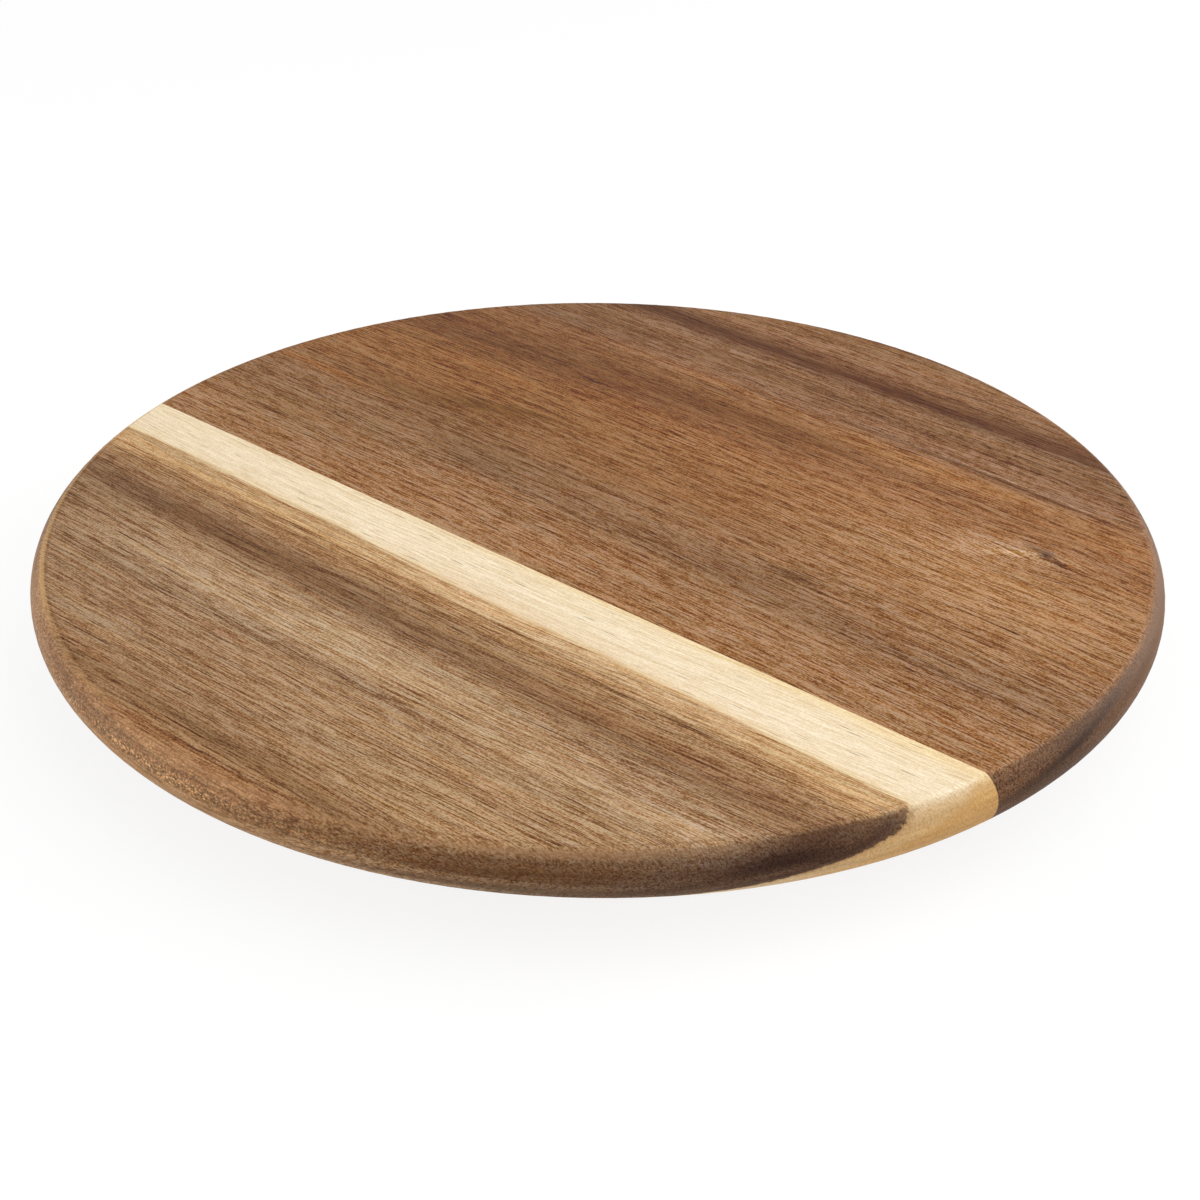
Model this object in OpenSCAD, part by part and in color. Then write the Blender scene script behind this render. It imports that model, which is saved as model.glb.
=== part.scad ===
// Lazy susan: a round serving board of two glued planks, turning on a pressed ball bearing over a small base

/* [Board] */
// Diameter of the board
board_d = 350; // [240:5:450]
// Thickness of the board
board_t = 14; // [12:0.5:25]
// How far the board's rounded edge bulges out past the start of its slope at the top
nose = 4.5; // [2:0.1:7]
// Depth below the top at which the board is widest
belly = 8; // [7.2:0.1:9]
// How far the rounded edge draws in again at the bottom
heel = 2.2; // [0.5:0.1:3]
// Radius of the eased crest where the top turns into the rounded edge
crest = 2.5; // [0.5:0.1:4]
// Distance from the centre to the glue joint, across the grain
joint_offset = 38; // [0:1:90]

/* [Base] */
// Diameter of the base
base_d = 200; // [170:5:230]
// Thickness of the base
base_t = 12; // [11:0.5:20]
// Radius of the round along both edges of the base
base_round = 3; // [0.5:0.25:5]
// Diameter of the hole that lets a screwdriver reach the board's screws
access_d = 18; // [12:0.5:18]

/* [Bearing] */
// Side of each square bearing plate
plate_w = 102; // [96:1:116]
// Thickness of the plates' sheet steel
plate_t = 1.2; // [0.8:0.1:1.5]
// Radius of the plates' corners
plate_corner = 8; // [2:0.5:12]
// Distance from a plate's sides to its screw holes
hole_inset = 8; // [7:0.5:10]
// Diameter of the open middle of the bearing
hub_d = 52; // [40:1:56]
// Diameter of the balls
ball_d = 4; // [3.4:0.1:5]
// Gap between the balls and each race
race_clear = 0.05; // [0.02:0.01:0.1]
// Least gap between two balls
ball_gap = 0.1; // [0.05:0.05:0.4]
// Gap between the back of a race and the wood behind it
race_lift = 0.75; // [0.5:0.05:1.2]
// Gap round the hub and the bend radius of its lip
hub_clear = 0.6; // [0.4:0.05:1]
// Gap under the hub's rolled lip
lip_clear = 0.3; // [0.2:0.05:0.4]
// Gap between the lip and the board
lip_room = 0.4; // [0.3:0.05:0.5]
// How far the lip reaches over the upper plate
lip_overlap = 2; // [1.4:0.1:3]
// Width of the flat land outside the race
land_w = 1; // [0.6:0.1:2]
// Turn of the upper plate against the lower one
plate_turn = 45; // [30:1:60]

/* [Screws] */
// Diameter of the screws' shanks
screw_d = 3.5; // [2.5:0.1:4]
// Length of the screws under the head
screw_l = 10; // [7:0.5:11]
// Length of the screws' points
point_l = 3; // [1:0.5:4]
// Diameter of the screws' heads
head_d = 7; // [6:0.1:8]
// Height of the straight side of the head
head_side = 0.7; // [0.4:0.1:1]
// Height of the dome of the head
head_dome = 1.3; // [0.8:0.1:1.5]
// Length of the cross in the head
cross_l = 3.6; // [2.5:0.1:4.5]
// Width of the cross in the head
cross_w = 0.9; // [0.6:0.1:1.2]
// Depth of the cross in the head
cross_h = 1.2; // [0.6:0.1:1.5]
// Gap between a shank and the hole in the sheet or the rubber
shank_clear = 0.5; // [0.2:0.05:0.8]
// Gap between a shank and its hole in the wood
pilot_clear = 0.05; // [0.02:0.01:0.1]
// Depth of the wood hole past the screw's point
pilot_spare = 0.5; // [0.2:0.1:1]

/* [Feet] */
// Largest diameter of a foot
foot_d = 16; // [14:0.5:22]
// Height of a foot
foot_h = 5; // [4.2:0.1:8]
// Lean of a foot's side
foot_lean = 10; // [2:1:20]
// Radius of the round along a foot's lower edge
foot_round = 1; // [0.4:0.1:1.4]
// Distance from the base's edge to the middle of a foot
foot_inset = 18; // [14:0.5:22]
// Gap round a screw head in its foot
head_clear = 0.6; // [0.3:0.1:1]
// Gap between a screw head and the table
head_lift = 1; // [0.5:0.1:1.5]

/* [Hidden] */
$fn = 96;
SIDES = 4;

// Section of the board's rounded edge: the crest, the nose down to the widest line and the heel below it
board_r = board_d / 2;
belly_z = board_t - belly;
nose_r = (nose * nose + belly * belly) / (2 * nose);
heel_r = (heel * heel + belly_z * belly_z) / (2 * heel);
crest_x = board_r - nose_r + sqrt(pow(nose_r - crest, 2) - pow(belly - crest, 2));
crest_z = belly_z + nose_r * (belly - crest) / (nose_r - crest);

// Round of the base's edges, limited by the wood that it is cut in
edge_flat = 0.5;
base_r = min(base_round, (base_t - edge_flat) / 2);

// Section of the bearing, with heights from the face that a plate is screwed on by
hub_r = hub_d / 2;
groove_r = ball_d / 2 + race_clear;
shell_r = groove_r + plate_t;
race_z = shell_r + race_lift;
bearing_h = 2 * race_z;
lip_top = bearing_h - lip_room;
lip_z = lip_top - plate_t;
rim_top = lip_z - lip_clear;
shelf_top = bearing_h - rim_top + plate_t;
shelf_z = shelf_top - plate_t;
rim_r = hub_r + plate_t + hub_clear;
lip_r = rim_r + lip_overlap;
race_r = lip_r + shell_r;
land_r = race_r + shell_r + land_w;
slope_shift = plate_t * tan(45 / 2);
ring_r = land_r + shelf_z + land_w;
ball_count = floor(180 / asin((ball_d + ball_gap) / (2 * race_r)));

// Heights of the stack above the table
base_z = foot_h;
bearing_z = base_z + base_t;
board_z = bearing_z + bearing_h;

// Places of the screws and the feet
hole_at = plate_w / 2 - hole_inset;
hole_circle = hole_at * sqrt(2);
foot_circle = base_d / 2 - foot_inset;
first_corner = 45;
board_corner = first_corner + plate_turn;
corner_step = 360 / SIDES;

// Sizes of the screw's head and of its seat in a foot
head_h = head_side + head_dome;
head_ball_r = (head_d * head_d / 4 + head_dome * head_dome) / (2 * head_dome);
point_r = 0.2;
sheet_hole_r = screw_d / 2 + shank_clear;
pilot_r = screw_d / 2 + pilot_clear;
seat_z = head_h + head_lift;
seat_r = head_d / 2 + head_clear;
foot_r = foot_d / 2;
foot_round_r = foot_r - (foot_h - foot_round + foot_round * sin(foot_lean)) * tan(foot_lean)
    - foot_round * cos(foot_lean);

// Extra length that carries a cut past a face
cut = 1;

module at_corners(radius, first) {
    for (i = [0 : SIDES - 1])
        rotate([0, 0, first + i * corner_step])
            translate([radius, 0, 0])
                children();
}

module at_corner(i, radius, first) {
    rotate([0, 0, first + (i - 1) * corner_step])
        translate([radius, 0, 0])
            children();
}

// Right half of a round between two heights
module arc_slice(radius, low, high) {
    intersection() {
        circle(radius);
        translate([0, low])
            square([radius, high - low]);
    }
}

module quarter(radius) {
    arc_slice(radius, 0, radius);
}

// Round of the board before it is parted at the glue joint
module board_blank() {
    rotate_extrude() {
        square([crest_x, board_t]);
        square([board_r - heel, belly_z]);
        translate([crest_x, board_t - crest])
            arc_slice(crest, crest_z - board_t + crest, crest);
        translate([board_r - nose_r, belly_z])
            arc_slice(nose_r, 0, crest_z - belly_z);
        translate([board_r - heel_r, belly_z])
            arc_slice(heel_r, -belly_z, 0);
    }
}

// Round of the base before it is drilled
module base_blank() {
    rotate_extrude() {
        square([base_d / 2 - base_r, base_t]);
        translate([0, base_r])
            square([base_d / 2, base_t - 2 * base_r]);
        translate([base_d / 2 - base_r, base_t - base_r])
            quarter(base_r);
        translate([base_d / 2 - base_r, base_r])
            mirror([0, 1])
                quarter(base_r);
    }
}

module pilot_hole(depth) {
    translate([0, 0, -cut])
        cylinder(r = pilot_r, h = depth + pilot_spare + cut);
}

// Wood screw with its head's underside at the origin and its point up
module wood_screw() {
    difference() {
        rotate_extrude()
            intersection() {
                translate([0, head_ball_r - head_h])
                    circle(head_ball_r);
                translate([0, -head_h])
                    square([head_d / 2, head_h]);
            }
        for (turn = [0, 90])
            rotate([0, 0, turn])
                translate([-cross_l / 2, -cross_w / 2, -head_h - cut])
                    cube([cross_l, cross_w, cross_h + cut]);
    }
    cylinder(d = screw_d, h = screw_l - point_l);
    translate([0, 0, screw_l - point_l])
        cylinder(r1 = screw_d / 2, r2 = point_r, h = point_l);
}

// Part of the board on one side of the glue joint, with holes for the bearing's screws
module plank(side) {
    difference() {
        intersection() {
            translate([0, 0, board_z])
                board_blank();
            translate([-board_d, side > 0 ? -joint_offset : -joint_offset - board_d, board_z - cut])
                cube([2 * board_d, board_d, board_t + 2 * cut]);
        }
        translate([0, 0, board_z])
            at_corners(hole_circle, board_corner)
                pilot_hole(screw_l - plate_t);
    }
}

module back_plank() {
    color([0.58, 0.39, 0.25])
        plank(1);
}

module front_plank() {
    color([0.66, 0.47, 0.31])
        plank(-1);
}

// Flat sheet of a bearing plate, open where the pressed ring goes
module plate_sheet() {
    inner_w = plate_w - 2 * plate_corner;
    linear_extrude(plate_t)
        difference() {
            union() {
                square([plate_w, inner_w], center = true);
                square([inner_w, plate_w], center = true);
                at_corners(inner_w / sqrt(2), first_corner)
                    circle(plate_corner);
            }
            circle(ring_r - land_w / 2);
            at_corners(hole_circle, first_corner)
                circle(sheet_hole_r);
        }
}

// Section of the pressed ring: race, outer land and the slope down to the sheet
module race_section(inner_r) {
    difference() {
        union() {
            translate([inner_r, shelf_z])
                square([race_r - inner_r, plate_t]);
            polygon([
                [race_r, shelf_z],
                [land_r - slope_shift, shelf_z],
                [land_r - slope_shift + shelf_z, 0],
                [ring_r, 0],
                [ring_r, plate_t],
                [land_r + shelf_z, plate_t],
                [land_r, shelf_top],
                [race_r, shelf_top]
            ]);
            intersection() {
                translate([race_r, race_z])
                    circle(shell_r);
                translate([race_r - shell_r, 0])
                    square([2 * shell_r, shelf_top]);
            }
        }
        translate([race_r, race_z])
            circle(groove_r);
    }
}

// Quarter bend of the sheet about the origin, from the left side to the top
module sheet_bend() {
    mirror([1, 0])
        difference() {
            quarter(hub_clear + plate_t);
            circle(hub_clear);
        }
}

// Section of the hub: a tube that bends out over the upper plate's rim and ends in a round edge
module hub_section() {
    foot_bend_z = shelf_top + hub_clear;
    lip_bend_z = lip_z - hub_clear;
    translate([rim_r, foot_bend_z])
        mirror([0, 1])
            sheet_bend();
    translate([hub_r, foot_bend_z])
        square([plate_t, lip_bend_z - foot_bend_z]);
    translate([rim_r, lip_bend_z])
        sheet_bend();
    translate([rim_r, lip_z])
        square([lip_overlap - plate_t / 2, plate_t]);
    translate([lip_r - plate_t / 2, lip_z + plate_t / 2])
        circle(plate_t / 2);
}

module lower_bearing_plate() {
    color([0.72, 0.72, 0.70])
        translate([0, 0, bearing_z]) {
            plate_sheet();
            rotate_extrude() {
                race_section(rim_r);
                hub_section();
            }
        }
}

module upper_bearing_plate() {
    color([0.76, 0.76, 0.74])
        translate([0, 0, board_z])
            rotate([0, 0, plate_turn])
                mirror([0, 0, 1]) {
                    plate_sheet();
                    rotate_extrude()
                        race_section(rim_r);
                }
}

module bearing_balls() {
    color([0.80, 0.80, 0.80])
        for (i = [0 : ball_count - 1])
            rotate([0, 0, i * 360 / ball_count])
                translate([race_r, 0, bearing_z + race_z])
                    sphere(d = ball_d);
}

module base_disc() {
    color([0.55, 0.37, 0.24])
        difference() {
            translate([0, 0, base_z])
                base_blank();
            translate([0, 0, bearing_z])
                mirror([0, 0, 1])
                    at_corners(hole_circle, first_corner)
                        pilot_hole(screw_l - plate_t);
            translate([0, 0, base_z])
                at_corners(foot_circle, first_corner)
                    pilot_hole(screw_l - foot_h + seat_z);
            rotate([0, 0, board_corner - corner_step])
                translate([hole_circle, 0, base_z - cut])
                    cylinder(d = access_d, h = base_t + 2 * cut);
        }
}

module board_screw(i) {
    color([0.83, 0.82, 0.78])
        at_corner(i, hole_circle, board_corner)
            translate([0, 0, board_z - plate_t])
                wood_screw();
}

module base_screw(i) {
    color([0.83, 0.82, 0.78])
        at_corner(i, hole_circle, first_corner)
            translate([0, 0, bearing_z + plate_t])
                mirror([0, 0, 1])
                    wood_screw();
}

module foot(i) {
    color([0.12, 0.12, 0.12])
        at_corner(i, foot_circle, first_corner)
            rotate_extrude() {
                polygon([
                    [sheet_hole_r, seat_z],
                    [seat_r, seat_z],
                    [seat_r, 0],
                    [foot_round_r, 0],
                    [foot_round_r, foot_round],
                    [
                        foot_round_r + foot_round * cos(foot_lean),
                        foot_round - foot_round * sin(foot_lean)
                    ],
                    [foot_r, foot_h],
                    [sheet_hole_r, foot_h]
                ]);
                translate([foot_round_r, foot_round])
                    circle(foot_round);
            }
}

module foot_screw(i) {
    color([0.83, 0.82, 0.78])
        at_corner(i, foot_circle, first_corner)
            translate([0, 0, seat_z])
                wood_screw();
}

back_plank();
front_plank();
upper_bearing_plate();
lower_bearing_plate();
bearing_balls();
base_disc();
for (i = [1 : SIDES]) {
    board_screw(i);
    base_screw(i);
    foot(i);
    foot_screw(i);
}
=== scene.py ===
import math

import bpy
from mathutils import Matrix, Vector


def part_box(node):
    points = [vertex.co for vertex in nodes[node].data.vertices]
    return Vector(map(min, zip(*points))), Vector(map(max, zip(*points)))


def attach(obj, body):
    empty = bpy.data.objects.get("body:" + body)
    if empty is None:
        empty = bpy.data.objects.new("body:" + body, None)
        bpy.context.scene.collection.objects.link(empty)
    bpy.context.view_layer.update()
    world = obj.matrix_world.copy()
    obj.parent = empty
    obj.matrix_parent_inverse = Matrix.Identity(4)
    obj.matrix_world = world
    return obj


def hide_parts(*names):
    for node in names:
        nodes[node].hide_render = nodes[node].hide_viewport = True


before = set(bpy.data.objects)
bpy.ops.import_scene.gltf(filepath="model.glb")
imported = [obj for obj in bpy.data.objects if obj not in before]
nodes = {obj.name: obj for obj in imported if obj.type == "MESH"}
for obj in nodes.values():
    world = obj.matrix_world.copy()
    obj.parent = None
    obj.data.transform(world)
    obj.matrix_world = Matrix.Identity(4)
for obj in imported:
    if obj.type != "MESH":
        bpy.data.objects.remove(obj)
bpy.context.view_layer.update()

mm = 0.001
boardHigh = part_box("back_plank")[1]
boardTop = boardHigh.z / mm
boardRadius = boardHigh.y / mm
boardNose = 4.5  # how far the rounded edge bulges out past the top
boardBelly = 8.0  # depth below the top at which the board is widest
boardArc = (boardNose ** 2 + boardBelly ** 2) / (2 * boardNose)
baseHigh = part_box("base_disc")[1]
raceRadius = 33.05  # the ring that the balls run on
four = range(1, 5)  # feet, and screws in a ring
print("frame loaded:", len(nodes), "nodes, board top at", round(boardTop, 2), "mm")


# node helpers
def feed(tree, socket, value):  # a socket is linked, anything else is set
    if isinstance(value, bpy.types.NodeSocket):
        tree.links.new(value, socket)
    else:
        socket.default_value = value


def addNode(tree, kind, inputs=None, **settings):
    made = tree.nodes.new(kind)
    for name, value in settings.items():
        setattr(made, name, value)
    for key, value in (inputs or {}).items():
        feed(tree, made.inputs[key], value)
    return made


def calc(tree, operation, *values):
    return addNode(tree, "ShaderNodeMath", dict(enumerate(values)), operation=operation).outputs[0]


def plus(tree, first, *others):
    for other in others:
        first = calc(tree, "ADD", first, other)
    return first


def times(tree, first, *others):
    for other in others:
        first = calc(tree, "MULTIPLY", first, other)
    return first


def minus(tree, first, second):
    return calc(tree, "SUBTRACT", first, second)


def over(tree, first, second):
    return calc(tree, "DIVIDE", first, second)


def squares(tree, first, second):  # the sum of two squares
    return plus(tree, times(tree, first, first), times(tree, second, second))


def bell(tree, square):  # 1 at the middle, falling softly to 0
    return calc(tree, "EXPONENT", times(tree, square, -1.0))


def fade(tree, value, low, high, toLow=0.0, toHigh=1.0, curve="SMOOTHSTEP"):
    ends = {"Value": value, "From Min": low, "From Max": high, "To Min": toLow, "To Max": toHigh}
    return addNode(tree, "ShaderNodeMapRange", ends, interpolation_type=curve).outputs[0]


def spread(tree, value, low, high):  # brings low to high out to -1 to 1
    return fade(tree, value, low, high, -1.0, 1.0, "LINEAR")


def mixColour(tree, factor, first, second, how="MIX"):
    inputs = {0: factor, 6: first, 7: second}
    return addNode(tree, "ShaderNodeMix", inputs, data_type="RGBA", blend_type=how).outputs[2]


def vector(tree, x, y, z):
    return addNode(tree, "ShaderNodeCombineXYZ", {"X": x, "Y": y, "Z": z}).outputs[0]


def pointMm(tree):  # x, y and z of the surface in millimetres of the shared frame
    place = addNode(tree, "ShaderNodeTexCoord").outputs["Object"]
    scaled = addNode(tree, "ShaderNodeVectorMath", {0: place, "Scale": 1 / mm}, operation="SCALE")
    return addNode(tree, "ShaderNodeSeparateXYZ", {0: scaled.outputs[0]}).outputs


def drawnOut(tree, along, across, depth, length, width, offset=0.0):  # a place for a pattern with a grain
    along = plus(tree, over(tree, along, length), offset)
    return vector(tree, along, over(tree, across, width), over(tree, depth, width))


def noise(tree, place, detail, rough=0.5, scale=1.0):
    inputs = {"Vector": place, "Scale": scale, "Detail": detail, "Roughness": rough}
    return addNode(tree, "ShaderNodeTexNoise", inputs).outputs[0]


def cells(tree, place):
    return addNode(tree, "ShaderNodeTexVoronoi", {"Vector": place, "Scale": 1.0}).outputs


woodSheen = 0.031  # pale light that the finish adds to any colour


def paint(red, green, blue):  # a colour as it shows on a screen, 0 to 255
    def linear(level):  # the screen's own curve
        share = level / 255
        return share / 12.92 if share <= 0.04045 else ((share + 0.055) / 1.055) ** 2.4
    return (linear(red), linear(green), linear(blue), 1.0)


def woodPaint(red, green, blue):  # as seen, less the sheen
    return tuple(max(level - woodSheen, 0.0) for level in paint(red, green, blue)[:3]) + (1.0,)


def rampColour(tree, value, stops):  # stops are (place, colour) in rising order
    low, high = stops[0][0], stops[-1][0]
    share = over(tree, minus(tree, value, low), high - low)
    ramp = addNode(tree, "ShaderNodeValToRGB", {"Fac": share})
    points = ramp.color_ramp.elements
    while len(points) < len(stops):
        points.new(1.0)
    for point, (place, colour) in zip(points, stops):
        point.position = (place - low) / (high - low)
        point.color = colour
    return ramp.outputs["Color"]


def newGroup(name, inputs, outputs):
    tree = bpy.data.node_groups.new(name, "ShaderNodeTree")
    for label, start in inputs.items():
        socket = tree.interface.new_socket(label, in_out="INPUT", socket_type="NodeSocketFloat")
        socket.default_value = start
    for label in outputs:
        tree.interface.new_socket(label, in_out="OUTPUT", socket_type="NodeSocketFloat")
    return tree, tree.nodes.new("NodeGroupInput").outputs, tree.nodes.new("NodeGroupOutput").inputs


def giveOut(tree, out, results):
    for label, value in results.items():
        feed(tree, out[label], value)
    return tree


def useGroup(tree, group, inputs):
    return addNode(tree, "ShaderNodeGroup", inputs, node_tree=group).outputs


# shared wood effects
def makeGrainFlow():  # where a point lies along, across and under the fibres, in millimetres
    starts = {"Slope": 0.0, "Bend": 0.0, "Wander": 0.0, "Wander Length": 90.0, "Wander Width": 30.0,
              "Curl": 0.0, "Curl Length": 24.0, "Curl Width": 6.0, "Knot X": 0.0, "Knot Y": 0.0,
              "Knot Reach": 10.0, "Knot Squash": 0.6, "Knot Pull": 0.0}
    tree, given, out = newGroup("grainFlow", starts, ["Along", "Across", "Depth"])
    x, y, z = pointMm(tree)
    fromX = minus(tree, x, given["Knot X"])
    fromY = minus(tree, y, given["Knot Y"])
    farX = over(tree, fromX, given["Knot Reach"])
    farY = over(tree, fromY, times(tree, given["Knot Reach"], given["Knot Squash"]))
    pull = times(tree, given["Knot Pull"], bell(tree, squares(tree, farX, farY)))
    across = minus(tree, y, times(tree, fromY, pull))
    across = plus(tree, across, times(tree, x, given["Slope"]))
    across = minus(tree, across, times(tree, x, x, given["Bend"]))
    for sway in ("Wander", "Curl"):
        place = drawnOut(tree, x, y, z, given[sway + " Length"], given[sway + " Width"])
        drift = minus(tree, noise(tree, place, 1.0), 0.5)
        across = plus(tree, across, times(tree, drift, given[sway]))
    return giveOut(tree, out, {"Along": x, "Across": across, "Depth": z})


grainStarts = {"Along": 0.0, "Across": 0.0, "Depth": 0.0}


def makeFibreNoise():  # streaks drawn out along the fibres, from -1 to 1
    starts = {**grainStarts, "Length": 20.0, "Width": 1.0, "Shift": 0.0, "Detail": 1.0, "Roughness": 0.95,
              "Least": 0.37, "Most": 0.63}
    tree, given, out = newGroup("fibreNoise", starts, ["Value"])
    place = drawnOut(tree, *[given[label] for label in (*grainStarts, "Length", "Width", "Shift")])
    streaks = noise(tree, place, given["Detail"], given["Roughness"])
    return giveOut(tree, out, {"Value": spread(tree, streaks, given["Least"], given["Most"])})


def makePoreDashes():  # open pores: dashes along the fibres, dots where they are cut across
    starts = {**grainStarts, "Length": 8.0, "Width": 0.9, "Size": 0.35, "Core": 0.35, "Share": 0.6,
              "Faintest": 0.3}
    tree, given, out = newGroup("poreDashes", starts, ["Mask"])
    found = cells(tree, drawnOut(tree, *[given[label] for label in (*grainStarts, "Length", "Width")]))
    draw = addNode(tree, "ShaderNodeSeparateColor", {0: found["Color"]}).outputs
    inside = fade(tree, found["Distance"], given["Size"], times(tree, given["Size"], given["Core"]))
    chosen = calc(tree, "LESS_THAN", draw[0], given["Share"])
    shade = plus(tree, times(tree, draw[1], minus(tree, 1.0, given["Faintest"])), given["Faintest"])
    return giveOut(tree, out, {"Mask": times(tree, inside, chosen, shade)})


def makeSoftPatch():  # a long soft spot in the figure
    starts = {"X": 0.0, "Y": 0.0, "Centre X": 0.0, "Centre Y": 0.0, "Half Length": 20.0, "Half Width": 5.0,
              "Rise": 0.0, "Ragged": 0.0}
    tree, given, out = newGroup("softPatch", starts, ["Mask"])
    fromX = minus(tree, given["X"], given["Centre X"])
    fromY = minus(tree, given["Y"], given["Centre Y"])
    fromY = minus(tree, fromY, times(tree, fromX, given["Rise"]))
    farX = over(tree, fromX, given["Half Length"])
    farY = plus(tree, over(tree, fromY, given["Half Width"]), given["Ragged"])
    return giveOut(tree, out, {"Mask": bell(tree, squares(tree, farX, farY))})


def makeCrossRipple():  # soft bars across the grain, where the fibres curl
    area = {"X": 0.0, "Y": 0.0, "Centre X": 0.0, "Centre Y": 0.0, "Half Length": 30.0, "Half Width": 8.0}
    bars = {"Spacing": 7.0, "Slant": 0.5, "Share": 0.1, "Warp": 3.0, "Warp Length": 14.0, "Warp Width": 9.0}
    tree, given, out = newGroup("crossRipple", {**area, **bars}, ["Value"])
    mask = useGroup(tree, softPatch, {label: given[label] for label in area})["Mask"]
    place = drawnOut(tree, given["X"], given["Y"], 0.0, given["Warp Length"], given["Warp Width"])
    warp = times(tree, noise(tree, place, 1.0), given["Warp"])
    along = plus(tree, given["X"], times(tree, given["Y"], given["Slant"]))
    turns = plus(tree, over(tree, along, given["Spacing"]), warp)
    wave = calc(tree, "SINE", times(tree, turns, 2 * math.pi))
    return giveOut(tree, out, {"Value": times(tree, wave, mask, given["Share"])})


def makeRimFacing():  # the rounded edge of a disc: its place, its outward facing, and its share of end grain
    starts = {"Radius": 100.0, "Nose": 5.0, "Arc": 5.0, "Fade From": -1.2, "Fade To": 1.8}
    tree, given, out = newGroup("rimFacing", starts, ["Rim", "Inside", "Facing", "End", "Turn"])
    x, y = pointMm(tree)[:2]
    reach = calc(tree, "SQRT", squares(tree, x, y))
    inside = minus(tree, reach, minus(tree, given["Radius"], given["Nose"]))
    rim = fade(tree, inside, given["Fade From"], given["Fade To"])
    outward = minus(tree, inside, minus(tree, given["Nose"], given["Arc"]))
    facing = times(tree, calc(tree, "MAXIMUM", over(tree, outward, given["Arc"]), 0.0), rim)
    across = over(tree, calc(tree, "ABSOLUTE", x), calc(tree, "MAXIMUM", reach, 1.0))
    turn = calc(tree, "DEGREES", calc(tree, "ARCTAN2", y, x))
    return giveOut(tree, out, {"Rim": rim, "Inside": inside, "Facing": facing,
                               "End": times(tree, facing, across), "Turn": turn})


def makeRimNoise():  # layers or flecks on a rim, from -1 to 1
    starts = {"Along": 40.0, "High": 1.0, "Shift": 0.0, "Detail": 2.0, "Least": 0.33, "Most": 0.67}
    tree, given, out = newGroup("rimNoise", starts, ["Value"])
    x, y, z = pointMm(tree)
    up = plus(tree, over(tree, z, given["High"]), given["Shift"])
    place = vector(tree, over(tree, x, given["Along"]), over(tree, y, given["Along"]), up)
    flecks = noise(tree, place, given["Detail"])
    return giveOut(tree, out, {"Value": spread(tree, flecks, given["Least"], given["Most"])})


grainFlow = makeGrainFlow()
fibreNoise = makeFibreNoise()
poreDashes = makePoreDashes()
softPatch = makeSoftPatch()
crossRipple = makeCrossRipple()
rimFacing = makeRimFacing()
rimNoise = makeRimNoise()
print("wood groups made")


def emptyTree(owner):  # of a material or the world
    owner.use_nodes = True
    owner.node_tree.nodes.clear()
    return owner.node_tree


def newMaterial(name):
    material = bpy.data.materials.new(name)
    tree = emptyTree(material)
    shader = addNode(tree, "ShaderNodeBsdfPrincipled")
    surface = addNode(tree, "ShaderNodeOutputMaterial", {"Surface": shader.outputs[0]})
    surface.is_active_output = True
    return material, tree, shader.inputs


def relief(tree, shader, look, height):  # a bump: strength, then depth in millimetres
    inputs = {"Strength": look[0], "Distance": look[1] * mm, "Height": height}
    feed(tree, shader["Normal"], addNode(tree, "ShaderNodeBump", inputs).outputs[0])


figure = {  # the same in all the wood
    "broad": (260.0, 16.0, 1.0), "streak": (80.0, 3.6, 2.0),  # fibres: length, width, detail
    "wisp": (30.0, 0.9, 1.0), "hue": (60.0, 2.4, 1.0),
    "streakShift": 3.7, "lineShift": 1.9, "cutShift": 5.1, "hueShift": 8.3, "fuzzShift": 2.0,
    "broadTone": 0.03, "streakTone": 0.05, "toneBend": 0.5,
    "ragged": 0.35,  # how far the streaks push the edge of a patch
    "cutDetail": 1.0, "cutFrom": (0.25, 0.95),
    "paleLines": (0.12, 0.40, 1.1, 0.55),  # brightness from and to, and the share of the lines there
    "fineRough": 0.05, "poreRough": 0.2, "fineHeight": 0.3, "bump": (0.25, 0.1),
}
rimFigure = {  # the same on all the rims
    "fuzz": {"Along": 1.5, "High": 1.1}, "layers": {"Along": 45.0, "High": 1.3},
    "grit": {"Along": 0.8, "High": 0.55}, "patchy": {"Along": 40.0, "High": 40.0},
    "fuzzShare": 0.9, "layerShare": 0.22, "ragged": 0.25,
    "sapShare": 0.4,  # how much of the layers and grit sapwood shows
    # sapwood end grain, darker further out on the rim: its own colour and painted shade
    "specks": (0.1, 0.5, 1.0, 0.15), "paleEndGrainAndShade": (0.3, 0.95),
    "crease": ((-1.6, -1.0), (-0.3, -0.7)),  # rises and falls, outwards from the edge of the top
    # a pale line along the edge of the top: partly wear, partly a painted highlight
    "wornAndHighlit": ((-0.6, 0.0), (1.5, 0.8)), "wornAndHighlitPatches": (-0.7, 0.4, 0.2, 1.0),
}


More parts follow.
